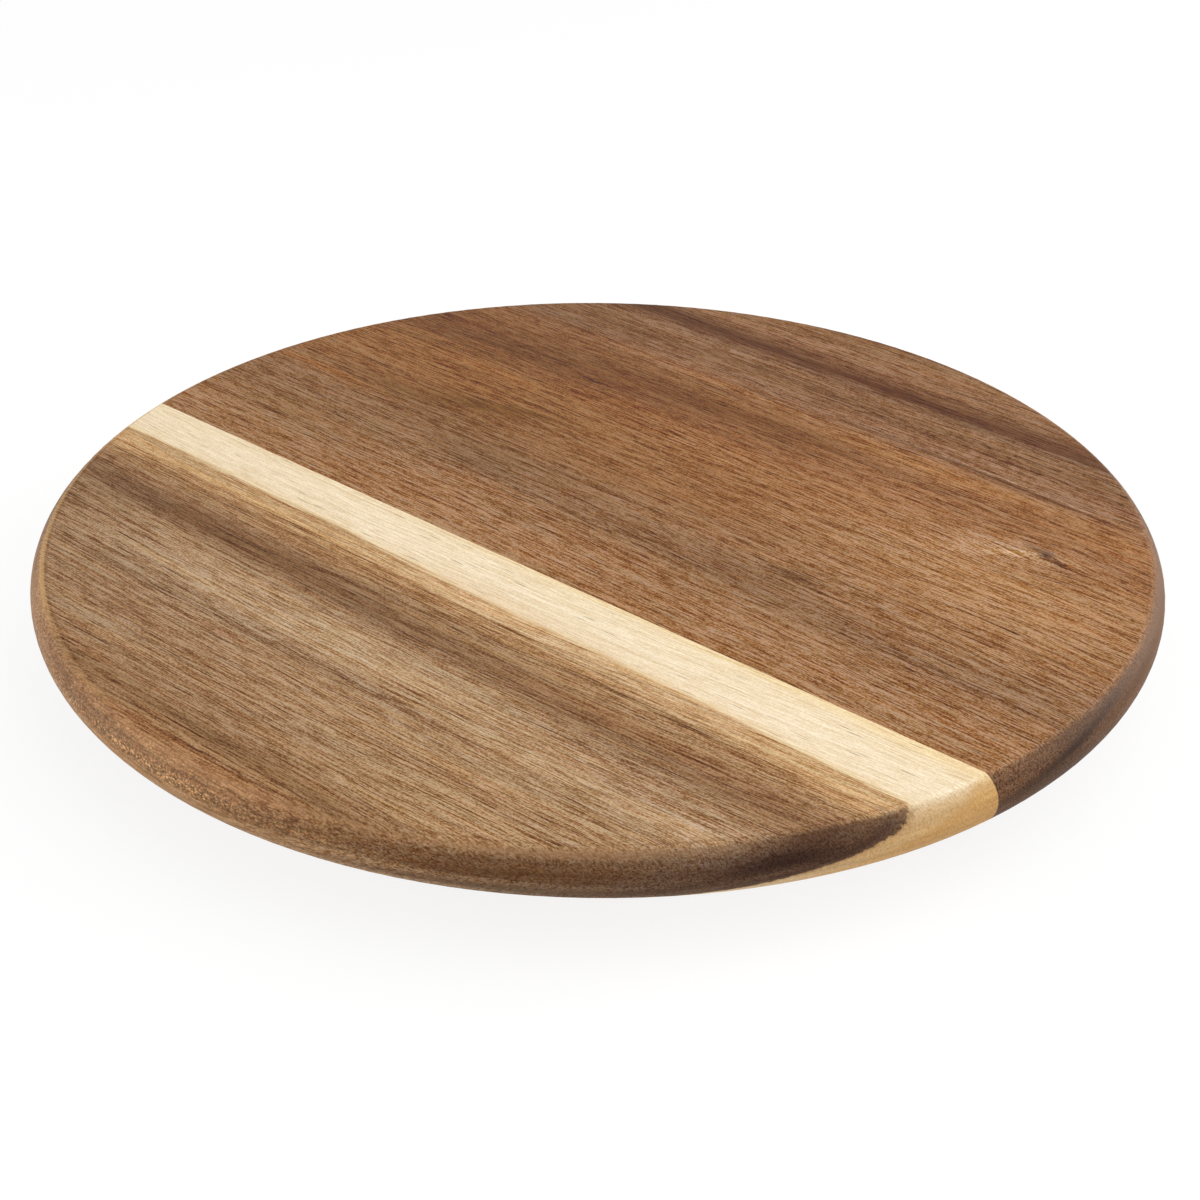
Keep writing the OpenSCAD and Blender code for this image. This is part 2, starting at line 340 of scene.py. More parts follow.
def woodMaterial(name, look):
    material, tree, shader = newMaterial(name)
    x, y, z = pointMm(tree)
    seed = look["seed"]
    edge = look["edge"]
    pale = look["pale"]
    rim = useGroup(tree, rimFacing, {"Radius": edge["radius"], "Nose": edge["nose"], "Arc": edge["arc"]})
    flow = useGroup(tree, grainFlow, look["flow"])
    grain = {label: flow[label] for label in grainStarts}

    def fibre(sizes, start):  # length, width and detail
        given = dict(zip(("Length", "Width", "Detail"), sizes))
        return useGroup(tree, fibreNoise, {**grain, **given, "Shift": start})["Value"]

    def pores(sizes):  # length, width, size, share and strength
        given = dict(zip(("Length", "Width", "Size", "Share"), sizes))
        return times(tree, useGroup(tree, poreDashes, {**grain, **given})["Mask"], sizes[-1])

    def patch(acrossX, acrossY, ragged, spot):  # centre, half length, half width and rise
        given = dict(zip(("Centre X", "Centre Y", "Half Length", "Half Width", "Rise"), spot))
        return useGroup(tree, softPatch, {"X": acrossX, "Y": acrossY, "Ragged": ragged, **given})["Mask"]

    def rimMarks(kind, start):
        return useGroup(tree, rimNoise, {**rimFigure[kind], "Shift": start})["Value"]

    def between(value, rises, falls):
        return times(tree, fade(tree, value, *rises), fade(tree, value, *falls))

    def lay(mask, strength, tint, how="MIX"):  # over the colour so far
        return mixColour(tree, times(tree, mask, strength), colour, tint, how)

    # broad colour: rings through the plank, then soft patches
    broad = fibre(figure["broad"], seed)
    streak = fibre(figure["streak"], seed + figure["streakShift"])
    wisp = fibre(figure["wisp"], 0.0)
    fuzz = times(tree, rimMarks("fuzz", seed + figure["fuzzShift"]), rim["Facing"])
    under = minus(tree, look["ringZ"], z)
    bow = plus(tree, look["ringLean"], times(tree, under, look["ringCurve"]))
    level = plus(tree, y, times(tree, under, bow))
    ring = plus(tree, level, times(tree, x, look["ringTurn"]))
    for sway, share in zip((broad, streak, wisp, fuzz), (*look["ringSway"], rimFigure["fuzzShare"])):
        ring = plus(tree, ring, times(tree, sway, share))
    colour = rampColour(tree, ring, look["bands"])
    ragged = times(tree, streak, figure["ragged"])
    for *spot, strength, tint in look["patches"]:
        colour = lay(patch(x, level, ragged, spot), strength, tint)
    heart = fade(tree, ring, *pale) if pale else 1.0  # 1 in heartwood, 0 in sapwood

    # fine figure: lines from wide to narrow, cuts, then pores
    tones = [plus(tree, times(tree, broad, figure["broadTone"]), times(tree, streak, figure["streakTone"]))]
    for turn, (*sizes, share) in enumerate(look["lines"]):
        fine = fibre(sizes, seed + figure["lineShift"] * turn)
        tones.append(plus(tree, tones[-1], times(tree, fine, share)))
    wide = tones[2]  # the wider lines alone
    *cutSizes, cutDepth, cutLift = look["cuts"]
    cuts = fibre((*cutSizes, figure["cutDetail"]), seed + figure["cutShift"])
    cuts = fade(tree, cuts, *figure["cutFrom"], 0.0, -cutDepth)
    tone = plus(tree, tones[-1], cuts, cutLift)
    dark = calc(tree, "MAXIMUM", pores(look["smallPores"]), pores(look["largePores"]))
    bright = addNode(tree, "ShaderNodeRGBToBW", {0: colour}).outputs[0]
    tone = times(tree, tone, fade(tree, bright, *figure["paleLines"]))
    for ripple in look["ripples"]:
        tone = plus(tree, tone, useGroup(tree, crossRipple, {"X": x, "Y": y, **ripple})["Value"])
    if pale:
        sap = minus(tree, 1.0, heart)
        tone = times(tree, tone, fade(tree, heart, 0.0, 1.0, look["paleTone"], 1.0))
        specks = times(tree, pores(look["palePores"]), fade(tree, rim["Facing"], *rimFigure["specks"]))
        dark = calc(tree, "MAXIMUM", times(tree, dark, heart), times(tree, specks, sap))
    tone = minus(tree, tone, times(tree, tone, tone, figure["toneBend"]))
    red, green, blue = [times(tree, tone, depth) for depth in look["deepen"]]
    blue = minus(tree, blue, times(tree, wide, heart, look["soften"]))
    shares = [calc(tree, "EXPONENT", part) for part in (red, green, blue)]
    shade = addNode(tree, "ShaderNodeCombineColor", dict(enumerate(shares))).outputs[0]
    colour = mixColour(tree, 1.0, colour, shade, "MULTIPLY")  # dark lines are redder
    hue = fibre(figure["hue"], seed + figure["hueShift"])
    tint = rampColour(tree, hue, list(zip((-1.0, 1.0), look["hues"])))
    colour = mixColour(tree, heart, colour, tint, "MULTIPLY")
    colour = mixColour(tree, dark, colour, look["poreColour"])

    # rim: layers, end grain (on the sapwood end partly painted shade, darker further out), soft patches,
    # grit, and a pale line where it meets the top that is partly wear and partly a painted highlight,
    # strongest on the left
    calm = fade(tree, heart, 0.0, 1.0, rimFigure["sapShare"], 1.0)
    layers = rimMarks("layers", seed)
    layerTone = calc(tree, "EXPONENT", times(tree, layers, rim["Facing"], rimFigure["layerShare"], calm))
    colour = mixColour(tree, 1.0, colour, layerTone, "MULTIPLY")
    end = fade(tree, rim["End"], *edge["endFrom"])
    if pale:
        # sapwood end grain darkens where the rim faces out: its own colour, and painted shade
        paleEndGrainAndShade = fade(tree, rim["End"], *rimFigure["paleEndGrainAndShade"])
        colour = lay(paleEndGrainAndShade, sap, edge["paleEndGrainAndShadeColour"], "MULTIPLY")
    colour = lay(end, heart, edge["endColour"], "MULTIPLY")
    for centre, half, strength, tint in edge["endBands"]:
        far = over(tree, minus(tree, ring, centre), half)
        colour = lay(times(tree, bell(tree, times(tree, far, far)), end), strength, tint)
    ragged = times(tree, layers, rimFigure["ragged"])
    for *spot, strength, tint in edge["patches"]:
        mask = times(tree, patch(rim["Turn"], under, ragged, spot), rim["Rim"], heart)
        colour = lay(mask, strength, tint)
    gritShare = times(tree, rim["Facing"], edge["grit"], calm)
    for *spot, strength in edge["flecks"]:
        flecked = times(tree, patch(rim["Turn"], under, ragged, spot), rim["Rim"], strength)
        gritShare = plus(tree, gritShare, flecked)
    grit = calc(tree, "EXPONENT", times(tree, rimMarks("grit", seed), gritShare))
    colour = mixColour(tree, 1.0, colour, grit, "MULTIPLY")
    crease = times(tree, between(rim["Inside"], *rimFigure["crease"]), heart)
    colour = lay(crease, edge["crease"], edge["creaseColour"], "MULTIPLY")
    # pale line on the edge of the top, strongest on the left: partly wear, partly a painted highlight
    patchy = fade(tree, rimMarks("patchy", 0.0), *rimFigure["wornAndHighlitPatches"])
    wornAndHighlit = times(tree, between(rim["Inside"], *rimFigure["wornAndHighlit"]), patchy, fade(tree, x, *edge["wearAndHighlightFrom"]))
    colour = lay(wornAndHighlit, edge["wearAndHighlight"], edge["wearAndHighlightColour"])

    feed(tree, shader["Base Color"], colour)
    rough = plus(tree, look["rough"], times(tree, fine, figure["fineRough"]))
    feed(tree, shader["Roughness"], plus(tree, rough, times(tree, dark, figure["poreRough"])))
    shader["Specular IOR Level"].default_value = look["gloss"]
    relief(tree, shader, figure["bump"], minus(tree, times(tree, fine, figure["fineHeight"]), dark))
    return material


boardEdge = {
    "radius": boardRadius, "nose": boardNose, "arc": boardArc,
    "endFrom": (0.15, 0.85), "endColour": paint(170, 166, 176),
    "endBands": [],  # place in the rings, half width, strength, colour
    "patches": [],  # turn round the board, depth, half turn, half depth, rise, strength, colour
    "flecks": [], "grit": 0.11,  # flecks: turn, depth, half turn, half depth, strength
    # pale edge line, fading out towards the right: partly wear, partly a painted highlight
    "wearAndHighlight": 0.6, "wearAndHighlightFrom": (-20.0, -70.0), "wearAndHighlightColour": woodPaint(192, 155, 106),
    "crease": 0.4, "creaseColour": paint(200, 180, 160),
}
plankFinish = {  # pores: length, width, size, share, strength
    "smallPores": (15.0, 0.6, 0.29, 0.8, 0.6), "largePores": (38.0, 1.3, 0.19, 0.6, 0.85),
    "rough": 0.6, "gloss": 0.15,
}

# back plank: heartwood all through, with a knot near the rim
backPlank = {
    **plankFinish,
    "flow": {"Slope": 0.022, "Bend": -0.00004, "Wander": 3.0, "Curl": 1.6, "Knot X": 119.0, "Knot Y": 71.0,
             "Knot Reach": 17.0, "Knot Pull": 0.55},
    "seed": 3.1,
    # lines in the grain: length, width, detail, share of the tone
    "lines": [
        (160.0, 2.2, 1.0, 0.12), (55.0, 0.7, 1.0, 0.32), (10.0, 0.56, 2.0, 0.72), (0.8, 0.36, 0.0, 0.38),
    ],
    "deepen": (0.67, 1.14, 2.35),  # how much of the tone each of red, green and blue takes
    "soften": 0.2,  # how much of the wide lines the blue leaves out
    "cuts": (24.0, 0.62, 0.4, 0.07),  # dark cuts between the lines: length, width, depth, lift of the rest
    "hues": [(0.965, 1.02, 0.99, 1.0), (1.045, 1.02, 0.905, 1.0)],  # cooler and warmer streaks
    "ringZ": boardTop, "ringLean": 0.9, "ringCurve": 0.0, "ringTurn": 0.0, "ringSway": (2.2, 0.8, 1.0),
    "bands": [
        (-40, woodPaint(158, 116, 80)), (-24, woodPaint(162, 120, 85)), (-12, woodPaint(154, 114, 80)),
        (-2, woodPaint(143, 107, 77)), (14, woodPaint(150, 111, 79)), (28, woodPaint(147, 105, 71)),
        (45, woodPaint(153, 109, 73)), (66, woodPaint(150, 104, 69)), (76, woodPaint(140, 97, 67)),
        (84, woodPaint(134, 93, 64)), (98, woodPaint(143, 101, 69)), (110, woodPaint(145, 107, 79)),
        (121, woodPaint(132, 96, 68)), (128, woodPaint(147, 110, 80)), (136, woodPaint(122, 88, 66)),
        (140.5, woodPaint(106, 73, 56)), (146, woodPaint(133, 96, 69)), (152, woodPaint(146, 106, 76)),
        (164, woodPaint(146, 107, 75)), (176, woodPaint(120, 85, 60)),
    ],
    # centre x and y, half length and width, rise, strength, colour
    "patches": [
        (64, 78, 42, 28, 0.0, 0.35, woodPaint(172, 123, 84)),
        (-125, 110, 60, 9, 0.0, 0.5, woodPaint(126, 91, 66)),
        (-110, 76, 75, 12, 0.08, 0.8, woodPaint(115, 80, 58)),
        (-45, 84, 60, 8, 0.10, 0.6, woodPaint(122, 84, 59)),
        (-100, 50, 60, 12, 0.0, 0.6, woodPaint(139, 95, 62)),
        (118, 46, 60, 30, 0.0, 0.85, woodPaint(175, 131, 91)),
        (98, 62, 27, 7, 0.45, 0.55, woodPaint(188, 146, 108)),
        (132, 91, 34, 11, 0.0, 0.6, woodPaint(170, 120, 79)),
        (62, 97, 48, 4, -0.03, 0.8, woodPaint(168, 118, 76)),
        (-20, 103, 60, 1.6, -0.03, 0.6, woodPaint(172, 122, 80)),
        (5, 88, 50, 1.6, -0.02, 0.6, woodPaint(112, 76, 54)),
        (-110, 57, 45, 1.5, 0.03, 0.45, woodPaint(162, 111, 70)),
        (-140, 19, 30, 1.8, 0.0, 0.7, woodPaint(172, 116, 70)),
        (82, 107.2, 50, 0.8, -0.05, 0.5, woodPaint(172, 136, 104)),
        (84, 105.4, 50, 0.7, -0.05, 0.9, woodPaint(84, 58, 44)),
        (6, 138.5, 80, 3.2, -0.03, 0.85, woodPaint(90, 61, 49)),
        (-20, 146, 70, 1.5, -0.02, 0.5, woodPaint(104, 72, 54)),
        (108.5, 66.6, 6.0, 2.1, 0.7, 0.95, woodPaint(204, 164, 126)),
        (113, 74.2, 5.0, 1.6, -0.1, 0.6, woodPaint(104, 77, 60)),
        (118.2, 72.6, 2.2, 2.0, -0.2, 0.88, woodPaint(62, 45, 34)),
        (122.8, 71.2, 2.6, 1.4, -0.35, 0.75, woodPaint(84, 62, 48)),
        (128, 68.0, 6.0, 2.0, -0.1, 0.4, woodPaint(120, 80, 58)),
        (-80, 36, 28, 5, 0.23, 0.7, woodPaint(108, 75, 50)),
        (-62, -8, 34, 10, 0.0, 0.4, woodPaint(172, 129, 92)),
        (0, 60, 34, 9, 0.0, 0.35, woodPaint(172, 125, 85)),
        (-55, 1, 16, 4, 0.0, 0.45, woodPaint(88, 70, 54)),
        (68, 11, 11, 3, 0.0, 0.6, woodPaint(95, 76, 60)),
        (54, 0, 34, 5, 0.0, 0.55, woodPaint(132, 96, 69)),
        (66, 24, 24, 7, 0.0, 0.45, woodPaint(170, 126, 90)),
        (-112, 24, 42, 7, 0.0, 0.6, woodPaint(122, 86, 58)),
        (-60, 12, 45, 9, 0.0, 0.6, woodPaint(128, 94, 66)),
        (132, -6, 42, 4, 0.0, 0.55, woodPaint(146, 110, 82)),
        (-120, -14, 42, 16, 0.0, 0.6, woodPaint(142, 105, 72)),
        (-95, 141, 34, 5, 0.0, 0.6, woodPaint(96, 69, 54)),
    ],
    "ripples": [
        {"Centre X": 68.0, "Centre Y": 118.0, "Half Length": 52.0, "Half Width": 9.0,
         "Spacing": 7.5, "Slant": 0.6, "Share": 0.26},
        {"Centre X": 106.0, "Centre Y": 66.0, "Half Length": 9.0, "Half Width": 5.0,
         "Spacing": 2.6, "Slant": -0.7, "Share": 0.16},
    ],
    "pale": None,
    "poreColour": woodPaint(60, 39, 25),
    "edge": {
        # a fainter pale edge line on this plank: wear and painted highlight
        **boardEdge, "wearAndHighlight": 0.25, "crease": 0.12, "endColour": paint(170, 164, 164),
        "patches": [
            (-6, 9, 9, 3, 0.0, 0.4, woodPaint(84, 66, 54)),
            (25, 4, 16, 7, 0.0, 0.7, woodPaint(124, 94, 72)),
            (-3, 0.8, 10, 1.4, 0.0, 0.4, woodPaint(98, 74, 58)),
            (-2, 4.9, 9, 1.5, -0.33, 0.75, woodPaint(54, 40, 33)),
            (13, 4.5, 10, 2.4, -0.1, 0.55, woodPaint(90, 68, 54)),
        ],
    },
}

# front plank: a pale sapwood edge at the glue joint
frontPlank = {
    **plankFinish,
    "flow": {"Slope": -0.015, "Bend": 0.00016, "Wander": 3.0, "Curl": 1.4},
    "seed": 24.4,
    "lines": [
        (220.0, 2.2, 1.0, 0.10), (100.0, 0.62, 1.0, 0.26), (10.0, 0.54, 1.0, 0.42), (0.8, 0.36, 0.0, 0.34),
    ],
    "deepen": (0.75, 1.10, 1.66), "soften": 0.3,
    "cuts": (34.0, 0.66, 0.56, 0.095),
    "hues": [(0.985, 1.06, 1.13, 1.0), (1.065, 1.06, 1.03, 1.0)],
    "ringZ": boardTop, "ringLean": 0.2, "ringCurve": 0.26, "ringTurn": 0.019, "ringSway": (0.5, 0.25, 0.5),
    "bands": [
        (-178, woodPaint(172, 127, 85)), (-167, woodPaint(158, 118, 85)), (-160.5, woodPaint(140, 106, 77)),
        (-156, woodPaint(153, 116, 85)), (-150, woodPaint(160, 124, 92)), (-142, woodPaint(163, 128, 96)),
        (-134, woodPaint(160, 125, 94)), (-124, woodPaint(164, 128, 96)), (-118, woodPaint(158, 125, 95)),
        (-112, woodPaint(170, 137, 106)), (-106, woodPaint(178, 144, 112)), (-98, woodPaint(166, 132, 101)),
        (-92, woodPaint(150, 116, 87)), (-87, woodPaint(138, 104, 77)), (-82, woodPaint(144, 109, 81)),
        (-77, woodPaint(156, 120, 88)), (-73, woodPaint(168, 129, 93)), (-69, woodPaint(190, 150, 108)),
        (-64, woodPaint(200, 162, 119)), (-62, woodPaint(194, 156, 114)), (-61, woodPaint(180, 140, 99)),
        (-60.3, woodPaint(206, 172, 128)), (-59.6, woodPaint(238, 214, 174)), (-58, woodPaint(241, 220, 187)),
        (-50, woodPaint(242, 223, 191)), (-40, woodPaint(241, 220, 185)), (-38, woodPaint(241, 216, 172)),
        (-34, woodPaint(240, 212, 166)), (-20, woodPaint(238, 210, 165)), (16, woodPaint(232, 200, 152)),
    ],
    "patches": [
        (-80, -85, 90, 4.8, 0.0, 0.72, woodPaint(118, 87, 64)),
        (10, -106, 70, 8, -0.01, 0.7, woodPaint(184, 150, 114)),
        (-20, -113, 70, 0.6, 0.015, 0.5, woodPaint(124, 92, 68)),
        (40, -117, 60, 0.7, 0.02, 0.55, woodPaint(118, 86, 62)),
        (-60, -119, 45, 0.6, 0.0, 0.5, woodPaint(120, 90, 66)),
        (30, -139, 70, 0.6, 0.02, 0.45, woodPaint(124, 90, 64)),
        (-30, -149, 60, 0.6, 0.01, 0.45, woodPaint(118, 84, 60)),
        (10, -68, 90, 0.7, -0.02, 0.7, woodPaint(132, 95, 65)),
        (-60, -71, 80, 0.8, -0.015, 0.75, woodPaint(122, 87, 61)),
        (90, -73, 50, 0.8, -0.02, 0.7, woodPaint(120, 84, 58)),
        (40, -70.5, 60, 0.5, -0.02, 0.6, woodPaint(124, 90, 63)),
        (-95, -66.5, 50, 0.6, -0.02, 0.6, woodPaint(138, 102, 72)),
        (90, -125, 60, 25, 0.0, 0.5, woodPaint(180, 142, 104)),
        (38, -63.5, 62, 5, -0.02, 0.65, woodPaint(216, 178, 136)),
        (-90, -126, 55, 14, 0.0, 0.5, woodPaint(148, 115, 87)),
        (5, -160.3, 48, 2.4, 0.0, 0.35, woodPaint(112, 81, 57)),
        (-132, -102, 38, 11, 0.0, 0.75, woodPaint(137, 104, 76)),
        (75, -84, 32, 2.5, 0.0, 0.5, woodPaint(148, 103, 70)),
        (62, -146, 40, 8, 0.0, 0.5, woodPaint(172, 136, 99)),
    ],
    "ripples": [],
    "pale": (-59.8, -61.0), "paleTone": 0.36,  # where sapwood turns to heartwood, its share of the lines
    "palePores": (18.0, 0.9, 0.21, 0.75, 0.75), "poreColour": woodPaint(66, 44, 29),
    "edge": {
        # sapwood end grain colour, laid on more deeply down the rim as painted shade
        **boardEdge, "paleEndGrainAndShadeColour": paint(213, 188, 153),
        "endBands": [(-66, 6, 0.7, woodPaint(66, 46, 42)), (-39, 2.4, 0.4, woodPaint(200, 152, 96))],
        "patches": [
            (-91, 6.2, 17, 3.2, 0.0, 0.7, woodPaint(157, 122, 90)),
            (-89, 0.9, 20, 1.4, 0.0, 0.6, woodPaint(168, 126, 92)),
            (-94, 3.3, 15, 0.8, 0.0, 0.45, woodPaint(108, 78, 58)),
            (-104, 4.0, 9, 4.0, 0.0, 0.45, woodPaint(122, 92, 70)),
            (-96, 11.5, 22, 2.0, 0.0, 0.6, woodPaint(166, 126, 86)),
            (-125, 4, 12, 4, 0.0, 0.5, woodPaint(164, 126, 98)),
            (-58, 6.0, 20, 3.2, 0.0, 0.75, woodPaint(92, 64, 46)),
            (-55, 11, 22, 1.8, 0.0, 0.6, woodPaint(98, 78, 64)),
            (-52, 0.9, 19, 1.1, 0.0, 0.6, woodPaint(158, 122, 92)),
            (-33, 5.5, 6, 3.0, 0.0, 0.75, woodPaint(58, 44, 38)),
            (-30, 0.8, 6, 1.7, 0.0, 0.65, woodPaint(74, 55, 45)),
            (-57, 3.1, 11, 0.9, 0.0, 0.45, woodPaint(84, 60, 46)),
        ],
        "flecks": [(-92, 6.0, 20, 2.0, 0.95), (-100, 2.0, 30, 2.0, 0.3)],
    },
}

# base disc: plainer wood of the same kind
baseDisc = {
    **backPlank,
    "flow": {"Slope": 0.03, "Bend": 0.0001, "Wander": 6.0},
    "ringZ": baseHigh.z / mm, "ringLean": 0.6,
    "bands": [
        (-110, woodPaint(140, 100, 70)), (-70, woodPaint(150, 108, 74)), (-40, woodPaint(128, 92, 66)),
        (-10, woodPaint(152, 112, 78)), (30, woodPaint(140, 99, 68)), (60, woodPaint(156, 116, 82)),
        (110, woodPaint(136, 96, 66)),
    ],
    "patches": [], "ripples": [],
    # a faint pale edge line: wear and painted highlight
    "edge": {**boardEdge, "radius": baseHigh.x / mm, "nose": 3.0, "arc": 3.0, "wearAndHighlight": 0.3},
}


def dress(name, material):  # gives a CAD node its finish
    slots = nodes[name].data.materials
    slots.clear()
    slots.append(material)


dress("back_plank", woodMaterial("backPlankWood", backPlank))
dress("front_plank", woodMaterial("frontPlankWood", frontPlank))
dress("base_disc", woodMaterial("baseWood", baseDisc))
print("wood dressed")


# metal and rubber
sheetFigure = {  # the same on all the metal
    "lineDetail": (3.0, 0.5), "scuffDetail": (6.0, 0.7),  # detail and roughness of the noise
    "lineFrom": (0.35, 0.65), "scuffFrom": (0.52, 0.68), "smear": (0.1, 0.9, 0.3, 1.0),
    "greaseReach": 4.0, "polishReach": 0.5,  # in half widths of the track
}


def makeSheetMarks():  # rolling lines, zinc flakes and scuffs on metal
    starts = {"Turn": 0.0, "Line Length": 30.0, "Line Width": 0.5, "Flake": 5.0, "Scuff": 9.0}
    tree, given, out = newGroup("sheetMarks", starts, ["Lines", "Flakes", "Scuffs"])
    x, y, z = pointMm(tree)
    cosine = calc(tree, "COSINE", given["Turn"])
    sine = calc(tree, "SINE", given["Turn"])
    along = plus(tree, times(tree, x, cosine), times(tree, y, sine))
    across = minus(tree, times(tree, y, cosine), times(tree, x, sine))
    lines = drawnOut(tree, along, across, z, given["Line Length"], given["Line Width"])
    lines = fade(tree, noise(tree, lines, *sheetFigure["lineDetail"]), *sheetFigure["lineFrom"])
    flakes = cells(tree, drawnOut(tree, x, y, z, given["Flake"], given["Flake"]))["Color"]
    flakes = addNode(tree, "ShaderNodeSeparateColor", {0: flakes}).outputs[0]
    scuffs = drawnOut(tree, x, y, z, given["Scuff"], given["Scuff"])
    scuffs = fade(tree, noise(tree, scuffs, *sheetFigure["scuffDetail"]), *sheetFigure["scuffFrom"])
    return giveOut(tree, out, {"Lines": lines, "Flakes": flakes, "Scuffs": scuffs})


sheetMarks = makeSheetMarks()


def metalMaterial(name, look):
    material, tree, shader = newMaterial(name)
    marks = useGroup(tree, sheetMarks, look["marks"])
    colour = mixColour(tree, marks["Flakes"], look["darkFlake"], look["paleFlake"])
    colour = mixColour(tree, times(tree, marks["Scuffs"], look["scuffed"]), colour, look["scuffColour"])
    rough = plus(tree, look["rough"], times(tree, marks["Lines"], look["lined"]))
    rough = plus(tree, rough, times(tree, marks["Scuffs"], look["scuffRough"]))
    if look["track"]:  # the balls polish a ring and leave grease beside it
        radius, half, polish = look["track"]
        x, y = pointMm(tree)[:2]
        off = calc(tree, "ABSOLUTE", minus(tree, calc(tree, "SQRT", squares(tree, x, y)), radius))
        smear = fade(tree, marks["Lines"], *sheetFigure["smear"])
        near = fade(tree, off, half * sheetFigure["greaseReach"], half)
        colour = mixColour(tree, times(tree, near, smear, look["greased"]), colour, look["greaseColour"])
        wornAndHighlit = fade(tree, off, half, half * sheetFigure["polishReach"])
        rough = minus(tree, rough, times(tree, wornAndHighlit, polish))
    feed(tree, shader["Base Color"], colour)
    feed(tree, shader["Roughness"], rough)
    shader["Metallic"].default_value = 1.0
    relief(tree, shader, look["bump"], marks["Lines"])
    return material


zincSheet = {
    "marks": {"Line Length": 30.0, "Line Width": 0.5, "Flake": 4.0, "Scuff": 12.0},
    "darkFlake": paint(186, 190, 196), "paleFlake": paint(208, 210, 212),
    "scuffed": 0.5, "scuffColour": paint(150, 152, 156), "scuffRough": 0.15,
    "rough": 0.3, "lined": 0.14, "bump": (0.15, 0.03),
    "track": (raceRadius, 1.6, 0.12),  # radius, half width, polish
    "greased": 0.4, "greaseColour": paint(150, 138, 112),
}
turnedSheet = {**zincSheet, "marks": {**zincSheet["marks"], "Turn": math.radians(45)}}
zincScrew = {
    **zincSheet, "marks": {"Line Length": 4.0, "Line Width": 0.3, "Flake": 1.2, "Scuff": 2.5},
    "darkFlake": paint(190, 188, 178), "paleFlake": paint(216, 214, 206), "rough": 0.26, "track": None,
}
polishedBall = {
    **zincSheet, "marks": {"Line Length": 2.0, "Line Width": 1.0, "Flake": 2.0, "Scuff": 3.0},
    "darkFlake": paint(206, 207, 208), "paleFlake": paint(216, 217, 218), "scuffed": 0.25,
    "rough": 0.1, "lined": 0.05, "track": None,
}
rubberFoot = {
    "dark": paint(38, 38, 39), "pale": paint(58, 57, 56),
    "grain": 2.2, "grainDetail": 3.0, "grainFrom": (0.3, 0.7),
    "cloud": 0.25, "cloudDetail": 4.0, "cloudFrom": (0.4, 0.65),
    "dust": paint(104, 101, 96), "dustHigh": (1.6, 0.2), "dusty": 0.5,  # dust near the table
    "rough": 0.75, "cloudRough": 0.15, "gloss": 0.3, "bump": (0.3, 0.05),
}


def rubberMaterial(name, look):
    material, tree, shader = newMaterial(name)
    x, y, z = pointMm(tree)
    place = vector(tree, x, y, z)
    grain = noise(tree, place, look["grainDetail"], scale=look["grain"])
    cloud = noise(tree, place, look["cloudDetail"], scale=look["cloud"])
    colour = mixColour(tree, fade(tree, grain, *look["grainFrom"]), look["dark"], look["pale"])
    clouded = fade(tree, cloud, *look["cloudFrom"])
    dust = times(tree, fade(tree, z, *look["dustHigh"]), clouded, look["dusty"])
    feed(tree, shader["Base Color"], mixColour(tree, dust, colour, look["dust"]))
    feed(tree, shader["Roughness"], plus(tree, look["rough"], times(tree, cloud, look["cloudRough"])))
    shader["Specular IOR Level"].default_value = look["gloss"]
    relief(tree, shader, look["bump"], grain)
    return material


dress("lower_bearing_plate", metalMaterial("lowerPlateZinc", zincSheet))
dress("upper_bearing_plate", metalMaterial("upperPlateZinc", turnedSheet))
footRubber = rubberMaterial("footRubber", rubberFoot)
for number in four:
    dress(f"foot_{number}", footRubber)
print("plates and feet dressed")


# screws and balls: geometry trees, sizes in millimetres
def newShape(name, sizes):  # a tree that adds to the geometry it is given
    tree = bpy.data.node_groups.new(name, "GeometryNodeTree")
    tree.is_modifier = True
    kinds = {int: "NodeSocketInt", float: "NodeSocketFloat", type(None): "NodeSocketMaterial"}
    tree.interface.new_socket("Geometry", in_out="INPUT", socket_type="NodeSocketGeometry")
    for label, start in sizes.items():
        socket = tree.interface.new_socket(label, in_out="INPUT", socket_type=kinds[type(start)])
        if start is not None:
            socket.default_value = start
    tree.interface.new_socket("Geometry", in_out="OUTPUT", socket_type="NodeSocketGeometry")
    return tree, tree.nodes.new("NodeGroupInput").outputs, tree.nodes.new("NodeGroupOutput").inputs


def shapeNode(tree, kind, inputs=None, **settings):
    return addNode(tree, "GeometryNode" + kind, inputs, **settings).outputs[0]


def lift(tree, shape, high):
    return shapeNode(tree, "Transform", {"Geometry": shape, "Translation": vector(tree, 0.0, 0.0, high)})


def join(tree, *shapes):
    made = tree.nodes.new("GeometryNodeJoinGeometry")
    for shape in reversed(shapes):
        tree.links.new(shape, made.inputs[0])
    return made.outputs[0]


def ringOf(tree, given, master, flip):  # copies on a circle, each turned its own way
    circle = shapeNode(tree, "MeshCircle", {"Vertices": given["Count"], "Radius": given["Circle Radius"]})
    turned = shapeNode(tree, "Transform", {
        "Geometry": circle, "Translation": vector(tree, 0.0, 0.0, given["Height"]),
        "Rotation": vector(tree, 0.0, 0.0, calc(tree, "RADIANS", given["First Turn"]))})
    draw = addNode(tree, "FunctionNodeRandomValue", {"Min": 0.0, "Max": 2 * math.pi, "Seed": given["Seed"]},
                   data_type="FLOAT")
    spin = next(socket for socket in draw.outputs if socket.enabled)
    placed = shapeNode(tree, "InstanceOnPoints", {
        "Points": turned, "Instance": master, "Rotation": vector(tree, flip, 0.0, spin)})
    return shapeNode(tree, "Transform", {"Geometry": placed, "Scale": (mm, mm, mm)})


def closeShape(tree, given, out, copies):
    plain = shapeNode(tree, "RealizeInstances", {"Geometry": copies})
    dressed = shapeNode(tree, "SetMaterial", {"Geometry": plain, "Material": given["Material"]})
    feed(tree, out["Geometry"], join(tree, given["Geometry"], dressed))


